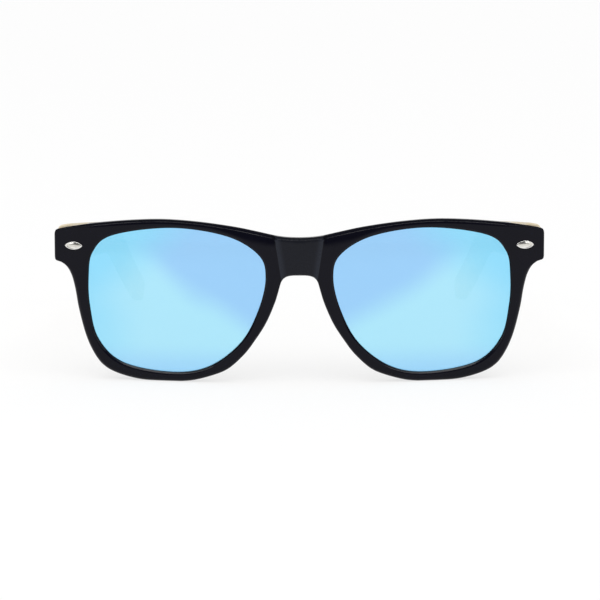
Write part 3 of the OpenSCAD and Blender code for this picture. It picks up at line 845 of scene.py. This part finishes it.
class GLASSES_OT_hinges(bpy.types.Operator):
    """Ease the edges of the hinge pieces and give them their metals"""
    bl_idname = "glasses.hinges"
    bl_label = "Hinges"

    def execute(self, context):
        look = context.scene.glasses_metal
        metals = {"hinge_steel": (look.steel, 0.3), "screw_steel": (look.screw, 0.26),
                  "spring_steel": (look.spring, 0.34), "bush_brass": (look.brass, 0.3)}
        finishes = {slot: brushed_metal(slot.replace("_", " "), *metal) for slot, metal in metals.items()}
        bodies = frame["record"]["behaviour"]["bodies"]
        body_of = {node: body for body, nodes in bodies.items() for node in nodes}
        for part in frame["record"]["subparts"]:
            name, slot = part["node"], part["material_slot"]
            if slot not in finishes:
                continue
            piece = bpy.data.objects[name]
            stem, side = name.rsplit("_", 1)
            if stem in EASED:
                piece = eased_copy(piece, f"eased_{name}", EASED[stem])
            elif stem == "spring":
                piece = coil(piece, side)
            if piece.name != name:
                hand_over(piece, body_of[name], slot, name)
            piece.data.materials.clear()
            piece.data.materials.append(finishes[slot])
        return {"FINISHED"}


# Materials
# The usual range of a noise
NOISE_RANGE = (0.3, 0.7)
# How much of the lens's coat and tint shows from behind them
COAT_BEHIND, SMOKE_BEHIND = 0.25, 0.35
# The panel's satin: how far behind the foremost point it ends, its edge, and where its paler sides, a
# painted highlight along the crease, end
SATIN_Y = (FACE_Y + 1.5 * MM, FACE_Y + 0.5 * MM)
SATIN_EDGE = 0.1 * MM
CREASE_HIGHLIGHT_FADE = (0.4 * MM, 2.2 * MM)
# Bamboo: waver of the strips and of the knot bands, and the bands' halo and width
STRIP_WAVER = 1.2 * MM
KNOT_WAVER = 0.9 * MM
KNOT_HALO = (2.6 * MM, 0.6 * MM)
KNOT_HALF = 0.55 * MM
FIBRE_DEPTH = 0.03 * MM
GRAIN_DEPTH = 0.006 * MM


class Net:
    """Adds nodes to the shader tree of a material, a world or a group, and links them."""

    def __init__(self, tree, owner=None):
        self.tree = tree
        self.owner = owner

    def feed(self, socket, value):
        """Links a socket to another node's output, or sets its own value."""
        if isinstance(value, bpy.types.NodeSocket):
            self.tree.links.new(value, socket)
        elif socket.type == "RGBA":
            socket.default_value = (*value[:3], 1)
        else:
            socket.default_value = value

    def add(self, kind, *values, **settings):
        """A node with its settings, and with values or links for its first sockets."""
        node = self.tree.nodes.new(f"ShaderNode{kind}")
        for key, value in settings.items():
            setattr(node, key, value)
        for socket, value in zip(node.inputs, values):
            self.feed(socket, value)
        return node

    def math(self, operation, *values):
        return self.add("Math", *values, operation=operation).outputs["Value"]

    def times(self, value, factor, plus=0.0):
        return self.math("MULTIPLY_ADD", value, factor, plus)

    def ranged(self, value, low, high, to_low=0.0, to_high=1.0):
        """A value moved softly from one range to another."""
        node = self.add("MapRange", value, low, high, to_low, to_high, interpolation_type="SMOOTHSTEP")
        return node.outputs["Result"]

    def mixed(self, factor, first, second, blend="MIX"):
        """A colour between two, by a factor."""
        node = self.add("Mix", factor, data_type="RGBA", blend_type=blend)
        for socket, value in zip([s for s in node.inputs if s.type == "RGBA"], (first, second)):
            self.feed(socket, value)
        return next(s for s in node.outputs if s.type == "RGBA")

    def place(self, turn=0.0):
        """Object coordinates, turned round X."""
        coord = self.add("TexCoord").outputs["Object"]
        return self.add("Mapping", coord, (0, 0, 0), (turn, 0, 0)).outputs["Vector"]

    def axes(self, vector):
        node = self.add("SeparateXYZ", vector)
        return [node.outputs[axis] for axis in "XYZ"]

    def noise(self, place, size, detail=3.0, stretch=(1, 1, 1)):
        """Noise that is stretched along the axes."""
        scaled = self.add("VectorMath", place, stretch, operation="MULTIPLY").outputs["Vector"]
        no_w = 0.0
        return self.add("TexNoise", scaled, no_w, size, detail).outputs["Fac"]

    def bump(self, height, depth):
        node = self.add("Bump")
        self.feed(node.inputs["Height"], height)
        self.feed(node.inputs["Distance"], depth)
        return node.outputs["Normal"]

    def by_side(self, outside, behind):
        """One value from outside a surface and another from behind it."""
        return self.ranged(self.add("NewGeometry").outputs["Backfacing"], 0.0, 1.0, outside, behind)

    def principled(self, **sockets):
        """Ends the net in a shader, with values or links for its sockets, and returns the material."""
        shader = self.add("BsdfPrincipled")
        for key, value in sockets.items():
            self.feed(shader.inputs[key.replace("_", " ")], value)
        self.add("OutputMaterial", shader.outputs["BSDF"])
        return self.owner


def empty_net(owner):
    owner.use_nodes = True
    owner.node_tree.nodes.clear()
    return Net(owner.node_tree, owner)


def material_net(name):
    return empty_net(bpy.data.materials.new(name))


def brushed_grain():
    """The metals' shared grain: fine lines over soft clouds of handling."""
    group = bpy.data.node_groups.get("brushed grain")
    if group:
        return group
    group = bpy.data.node_groups.new("brushed grain", "ShaderNodeTree")
    ways = {"INPUT": {"Colour": "Color", "Roughness": "Float", "Stretch": "Vector"},
            "OUTPUT": {"Colour": "Color", "Roughness": "Float", "Height": "Float"}}
    for way, sockets in ways.items():
        for name, kind in sockets.items():
            group.interface.new_socket(name, in_out=way, socket_type=f"NodeSocket{kind}")
    given = group.nodes.new("NodeGroupInput").outputs
    result = group.nodes.new("NodeGroupOutput").inputs
    net = Net(group)
    place = net.place()
    lines = net.noise(place, size=6000, detail=4, stretch=given["Stretch"])
    worn = net.times(net.noise(place, size=900), 0.4, net.times(lines, 0.6))
    shade = net.ranged(worn, *NOISE_RANGE, 0.9, 1.05)
    rough = net.ranged(worn, *NOISE_RANGE, 1.2, 0.85)
    net.feed(result["Colour"], net.mixed(1.0, given["Colour"], shade, "MULTIPLY"))
    net.feed(result["Roughness"], net.times(given["Roughness"], rough))
    net.feed(result["Height"], lines)
    return group


def brushed_metal(name, colour, roughness, stretch=(1, 0.05, 1)):
    net = material_net(name)
    grain = net.add("Group", colour, roughness, stretch, node_tree=brushed_grain()).outputs
    return net.principled(
        Metallic=1.0, Base_Color=grain["Colour"], Roughness=grain["Roughness"],
        Normal=net.bump(grain["Height"], GRAIN_DEPTH))


def black_plastic(look):
    """Polished plastic, with the panel on the bridge in satin, a painted sheen, and a painted highlight
    along its crease.
    """
    net = material_net("black plastic")
    place = net.place()
    x, y, z = net.axes(place)
    half = net.times(z, PANEL_LEAN, PANEL_UNDER_W / 2 - PANEL_LEAN * BRIDGE_UNDER)
    inside = net.math("SUBTRACT", half, net.math("ABSOLUTE", x))
    panel = net.times(net.ranged(inside, -SATIN_EDGE, SATIN_EDGE), net.ranged(y, *SATIN_Y))
    gloss_black = net.mixed(net.noise(place, size=90), look.plastic, [c * 1.4 for c in look.plastic])
    # Painted sheen: the panel is paler than the gloss black, and paler still at its sides, a painted
    # highlight along the crease
    painted_panel_sheen = net.mixed(net.ranged(inside, *CREASE_HIGHLIGHT_FADE), look.panel_crease_highlight, look.panel)
    fine = net.noise(place, size=420, detail=5)
    polished = net.ranged(fine, *NOISE_RANGE, 0.07, 0.14)
    satin = net.ranged(fine, *NOISE_RANGE, 0.22, 0.3)
    return net.principled(
        Specular_IOR_Level=look.gloss, IOR=1.49, Base_Color=net.mixed(panel, gloss_black, painted_panel_sheen),
        Roughness=net.ranged(panel, 0.0, 1.0, polished, satin))


def mirror_coat(look):
    """Mirror coat whose colour shifts, as a painted reflection, from periwinkle above the nose to cyan
    below and outside.
    """
    net = material_net("mirror coat")
    place = net.place()
    x, _, z = net.axes(place)
    from_middle = net.math("SUBTRACT", net.math("ABSOLUTE", x), LENS_X)
    across = net.math("DIVIDE", from_middle, APERTURE_W / 2)
    up = net.math("DIVIDE", net.math("SUBTRACT", z, LENS_Z), APERTURE_H / 2)
    # The shift of the coat's colour over the lens, worked out below, is a painted reflection
    waver = net.times(net.noise(place, size=45, detail=1), 0.3, -0.15)
    slant = net.times(across, 0.62, net.times(up, -0.78, waver))
    tone = net.mixed(net.ranged(slant, -0.46, -0.05), look.coat_reflection_nose, look.coat_reflection_middle)
    outer_high = net.times(across, 0.6, net.times(up, 0.5))
    tone = net.mixed(net.ranged(outer_high, 0.25, 0.8), tone, look.coat_reflection_outer)
    outer_low = net.times(net.ranged(across, 0.3, 0.95, 0.0, 0.6), net.ranged(up, 0.2, -0.3))
    tone = net.mixed(outer_low, tone, look.coat_reflection_outer)
    tone = net.mixed(net.ranged(up, -0.55, -1.0), tone, look.coat_reflection_low)
    haze = net.ranged(net.noise(place, size=300), *NOISE_RANGE, 0.04, 0.1)
    return net.principled(
        Metallic=1.0, Base_Color=tone, Roughness=haze, Alpha=net.by_side(look.coat, COAT_BEHIND))


def smoked_plastic(look):
    """Tint of the lens: thin under the coat, dense to the wearer's side."""
    net = material_net("smoked plastic")
    place = net.place()
    cloud = net.noise(place, size=60, detail=2)
    tone = net.mixed(cloud, look.smoke_colour, [c * 1.3 for c in look.smoke_colour])
    haze = net.ranged(net.noise(place, size=300), *NOISE_RANGE, 0.04, 0.09)
    return net.principled(Base_Color=tone, Roughness=haze, Alpha=net.by_side(look.smoke, SMOKE_BEHIND))


def bamboo(look):
    """Pressed bamboo strips with fibres along the temple and a knot band in each strip."""
    net = material_net("bamboo")
    place = net.place(temple_slope())
    _, along, up = net.axes(place)
    drift = net.times(net.noise(place, size=70, detail=2, stretch=(1, 0.15, 1)), STRIP_WAVER, up)
    strips = net.math("DIVIDE", drift, look.strip)
    lane = net.math("FLOOR", strips)
    draw = net.add("TexWhiteNoise", (0, 0, 0), lane, noise_dimensions="1D").outputs["Value"]
    broad = net.noise(place, size=110, detail=2, stretch=(1, 0.12, 1))
    pale = net.times(broad, 0.7, net.times(draw, 0.65, -0.2))
    tone = net.mixed(pale, look.wood_dark, look.wood_light)
    fibre = net.noise(place, size=2600, detail=5, stretch=(1, 0.018, 1))
    tone = net.mixed(net.ranged(fibre, 0.58, 0.74, 0.0, 0.55), tone, look.fibre)
    seam = net.math("PINGPONG", strips, 0.5)
    tone = net.mixed(net.ranged(seam, 0.04, 0.0, 0.0, 0.4), tone, look.fibre)
    wavy = net.times(net.noise(place, size=900, detail=2, stretch=(1, 0.3, 1)), KNOT_WAVER, along)
    band = net.math("PINGPONG", net.times(draw, look.knot_gap, wavy), look.knot_gap / 2)
    tone = net.mixed(net.ranged(band, *KNOT_HALO, 0.0, 0.3), tone, look.wood_light)
    knot = net.ranged(band, KNOT_HALF, 0.0, 0.0, 0.62)
    height = net.math("SUBTRACT", net.times(knot, 0.6), fibre)
    return net.principled(
        Coat_Weight=0.12, Coat_Roughness=0.25, Base_Color=net.mixed(knot, tone, look.fibre),
        Roughness=net.ranged(fibre, 0.3, 0.75, 0.36, 0.55), Normal=net.bump(height, FIBRE_DEPTH))


def white_paper(look):
    """Floor that shows as white and keeps a soft shadow."""
    net = material_net("white paper")
    diffuse = net.add("BsdfDiffuse", [look.floor_shade] * 3).outputs["BSDF"]
    glow = net.add("Emission", (1, 1, 1)).outputs["Emission"]
    path = net.add("LightPath").outputs
    seen = net.math("MAXIMUM", path["Is Camera Ray"], path["Is Glossy Ray"])
    seen = net.math("MAXIMUM", seen, path["Is Transmission Ray"])
    blend = net.add("MixShader", net.times(seen, look.floor_glow), diffuse, glow)
    net.add("OutputMaterial", blend.outputs["Shader"])
    return net.owner


# Stage
FLOOR_SIZE = 30
SENSOR_W = 36
CLIP_END = 100
SKY_ANGLE = math.radians(70)
SKY_TILT = math.radians(20)
# Rise over which the room darkens in reflections
WALL_RISE = (0.06, 0.3)
# Lamps that look at the front: shape, size and place
LAMPS = {
    "left softbox": ("DISK", (0.6, 0.6), (-0.8, -0.5, 0.5)),
    "right softbox": ("DISK", (0.6, 0.6), (0.8, -0.5, 0.5)),
    "overhead strip": ("RECTANGLE", (1.3, 0.06), (0, FACE_Y - 0.21, 0.62)),
}


def white_room(look):
    """A world that is white in view, with walls that darken upwards in reflections."""
    net = empty_net(bpy.data.worlds.new("soft white room"))
    path = net.add("LightPath").outputs
    rise = net.axes(net.add("TexCoord").outputs["Generated"])[2]
    wall = net.ranged(rise, *WALL_RISE, 1.0, look.dim_wall)
    light = net.ranged(path["Is Glossy Ray"], 0.0, 1.0, look.room_light, wall)
    seen = net.math("MAXIMUM", path["Is Camera Ray"], path["Is Transmission Ray"])
    background = net.add("Background", (1, 1, 1), net.ranged(seen, 0.0, 1.0, light, 1.0))
    net.add("OutputWorld", background.outputs["Background"])
    return net.owner


def add_lamps(look):
    sky = bpy.data.lights.new("wide ceiling", "SUN")
    sky.angle = SKY_ANGLE
    sky.energy = look.top_power
    holder = link_new("wide ceiling", sky)
    holder.rotation_euler = (SKY_TILT, 0, 0)
    holder.visible_glossy = False
    middle = Vector((0, 0, MID_Z))
    for name, (shape, size, place) in LAMPS.items():
        lamp = bpy.data.lights.new(name, "AREA")
        lamp.shape = shape
        lamp.size, lamp.size_y = size
        lamp.energy = look.side_power if shape == "DISK" else look.strip_power
        holder = link_new(name, lamp)
        holder.location = place
        holder.rotation_euler = (middle - Vector(place)).to_track_quat("-Z", "Y").to_euler()
        # The strip shows only in gloss
        holder.visible_diffuse = shape == "DISK"


def add_camera(look):
    data = bpy.data.cameras.new("camera")
    data.lens = look.camera_lens
    data.sensor_width = SENSOR_W
    data.clip_end = CLIP_END
    camera = link_new("camera", data)
    aim = Vector((look.aim_side, FACE_Y, look.aim_height))
    back = Vector((0, -math.cos(look.camera_height), math.sin(look.camera_height)))
    camera.location = aim + back * look.camera_distance
    roll = Quaternion((0, 0, 1), look.camera_roll)
    camera.rotation_euler = ((-back).to_track_quat("-Z", "Y") @ roll).to_euler()
    return camera


class GLASSES_OT_stage(bpy.types.Operator):
    """Set the floor, the light and the camera"""
    bl_idname = "glasses.stage"
    bl_label = "Stage"

    def execute(self, context):
        scene = context.scene
        look = scene.glasses_stage
        scene.view_settings.view_transform = "Standard"
        bpy.ops.mesh.primitive_plane_add(size=FLOOR_SIZE)
        floor = adopt("floor")
        floor.data.materials.append(white_paper(look))
        scene.world = white_room(look)
        add_lamps(look)
        scene.camera = add_camera(look)
        return {"FINISHED"}


# Sizes and colours that a user may change
def kind_of(make, **limits):
    """A short way to write a property of one kind."""
    return lambda name, description, default: make(
        name=name, description=description, default=default, **limits)


distance = kind_of(bpy.props.FloatProperty, unit="LENGTH", precision=5, min=0)
colour = kind_of(bpy.props.FloatVectorProperty, subtype="COLOR", size=3, min=0, max=1)
share = kind_of(bpy.props.FloatProperty, subtype="FACTOR", min=0, max=1)
number = kind_of(bpy.props.FloatProperty, min=0)
angle = kind_of(bpy.props.FloatProperty, subtype="ANGLE")


class FrontLook(bpy.types.PropertyGroup):
    """Edges and plastic of the front"""
    edge_round: distance("Edge round", "Radius of the front's outer edge", 1.3 * MM)
    end_round: distance("End round", "Radius of the edge round the end pieces", 0.55 * MM)
    brow_round: distance("Brow round", "Radius of the back edge along the brow", 1.5 * MM)
    opening_slope: distance("Opening slope", "Width of the sloped edge of the lens openings", 0.65 * MM)
    back_round: distance("Back round", "Radius of the edges on the back", 0.6 * MM)
    pad_round: distance("Pad round", "Radius of the edges of the nose pads", 1.35 * MM)
    pad_reach: distance("Pad reach", "How far a nose pad stands back", 4.9 * MM)
    panel_crease: distance("Panel crease", "Width of the step round the panel on the bridge", 0.28 * MM)
    shoulder: distance("Shoulder", "Width of the slope beside the panel on the bridge", 4.5 * MM)
    roll_width: distance("Roll width", "Width of the roll beside the panel, below the top edge", 5 * MM)
    roll_depth: distance("Roll depth", "How far the brow rolls back at its top edge", 1.1 * MM)
    plastic: colour("Plastic", "Colour of the front", (0.002, 0.002, 0.0052))
    # The panel's colour is a painted sheen, and the colour of its sides is a painted highlight along the
    # crease
    panel: colour("Panel", "Colour of the panel on the bridge", (0.0085, 0.0093, 0.0138))
    panel_crease_highlight: colour("Panel border", "Colour of the panel's two sides", (0.0175, 0.02, 0.0285))
    gloss: share("Gloss", "Strength of the plastic's reflections", 0.14)


class LensLook(bpy.types.PropertyGroup):
    """Mirror coat and tint of the lenses"""
    coat: share("Coat", "How much of the mirror coat covers the lens", 0.9)
    # The four coat colours carry a painted reflection that shifts over the lens
    coat_reflection_nose: colour("Coat above the nose", "Mirror colour at the upper inner side", (0.31, 0.63, 0.98))
    coat_reflection_middle: colour("Coat middle", "Mirror colour in the lower middle", (0.41, 0.82, 1.0))
    coat_reflection_outer: colour("Coat outside", "Mirror colour at the upper outer side", (0.26, 0.73, 1.0))
    coat_reflection_low: colour("Coat below", "Mirror colour along the bottom", (0.34, 0.7, 1.0))
    smoke: share("Smoke", "How dense the tint is from behind", 0.84)
    smoke_colour: colour("Smoke colour", "Colour of the back of the lens", (0.012, 0.014, 0.017))


class MetalLook(bpy.types.PropertyGroup):
    """Metals of the rivet plates and the hinges"""
    rivet_crown: distance("Rivet crown", "Height of a rivet plate's crown", 0.17 * MM)
    rivet_bevel: distance("Rivet bevel", "Width of a rivet plate's bevel", 0.3 * MM)
    silver: colour("Silver", "Colour of the rivet plates", (0.72, 0.7, 0.65))
    # The bevel's paler colour is a painted highlight
    bevel: colour("Bevel", "Colour of the bevel of the rivet plates", (0.9, 0.89, 0.87))
    steel: colour("Steel", "Colour of the hinges", (0.62, 0.62, 0.61))
    screw: colour("Screws", "Colour of the screws", (0.5, 0.5, 0.5))
    spring: colour("Springs", "Colour of the springs", (0.45, 0.46, 0.48))
    brass: colour("Brass", "Colour of the guide bushes", (0.75, 0.6, 0.33))


class TempleLook(bpy.types.PropertyGroup):
    """Bamboo of the temples"""
    wood_light: colour("Light wood", "Colour of the palest strips", (0.82, 0.74, 0.56))
    wood_dark: colour("Dark wood", "Colour of the darkest strips", (0.7, 0.58, 0.38))
    fibre: colour("Fibre", "Colour of the fibres, seams and knot bands", (0.42, 0.29, 0.15))
    butt_round: distance("Butt round", "Radius of the edge round a temple's butt", 0.5 * MM)
    strip: distance("Strip", "Width of a bamboo strip", 4.2 * MM)
    knot_gap: distance("Knot gap", "Distance between the knot bands of a strip", 64 * MM)


class StageLook(bpy.types.PropertyGroup):
    """Floor, light and camera"""
    floor_shade: share("Floor shade", "Paleness of the floor", 0.95)
    floor_glow: share("Floor glow", "How much of the floor shows as plain white", 0.7)
    room_light: number("Room light", "Light from all sides", 0.6)
    top_power: number("Top light", "Strength of the ceiling light", 1.3)
    side_power: number("Side light", "Power of each side softbox", 1.0)
    strip_power: number("Strip light", "Power of the strip above, which shows only in gloss", 1.7)
    camera_lens: number("Lens", "Focal length in mm", 123.4)
    camera_distance: distance("Camera distance", "From the camera to the front", 0.6)
    camera_height: angle("Camera height", "Angle of the camera above the front", math.radians(9.7))
    camera_roll: angle("Camera roll", "Turn of the camera round its own line of sight", math.radians(-0.12))
    dim_wall: share("Dim wall", "Brightness of the upper walls in reflections", 0.15)
    aim_side: distance("Aim side", "Distance of the aim from the middle", 0.15 * MM)
    aim_height: distance("Aim height", "Height of the point that the camera looks at", 25.1 * MM)


LOOKS = {
    "glasses_front": FrontLook, "glasses_lens": LensLook, "glasses_metal": MetalLook,
    "glasses_temple": TempleLook, "glasses_stage": StageLook,
}
STEPS = [GLASSES_OT_front, GLASSES_OT_lenses, GLASSES_OT_rivets, GLASSES_OT_temples, GLASSES_OT_hinges,
         GLASSES_OT_stage]


class GLASSES_PT_steps(bpy.types.Panel):
    """The pieces in the order in which they are made"""
    bl_label = "Sunglasses"
    bl_space_type = "VIEW_3D"
    bl_region_type = "UI"
    bl_category = "Sunglasses"

    def draw(self, context):
        for step in STEPS:
            self.layout.operator(step.bl_idname)
        for name, look in LOOKS.items():
            box = self.layout.box()
            for key in look.__annotations__:
                box.prop(getattr(context.scene, name), key)


CLASSES = [*LOOKS.values(), *STEPS, GLASSES_PT_steps]


def register():
    for item in CLASSES:
        bpy.utils.register_class(item)
    for name, look in LOOKS.items():
        setattr(bpy.types.Scene, name, bpy.props.PointerProperty(type=look))


def unregister():
    for name in LOOKS:
        delattr(bpy.types.Scene, name)
    for item in reversed(CLASSES):
        bpy.utils.unregister_class(item)


def main():
    register()
    bpy.ops.glasses.stage()
    bpy.ops.glasses.front()
    bpy.ops.glasses.lenses()
    bpy.ops.glasses.rivets()
    bpy.ops.glasses.temples()
    bpy.ops.glasses.hinges()


if __name__ == "__main__":
    main()
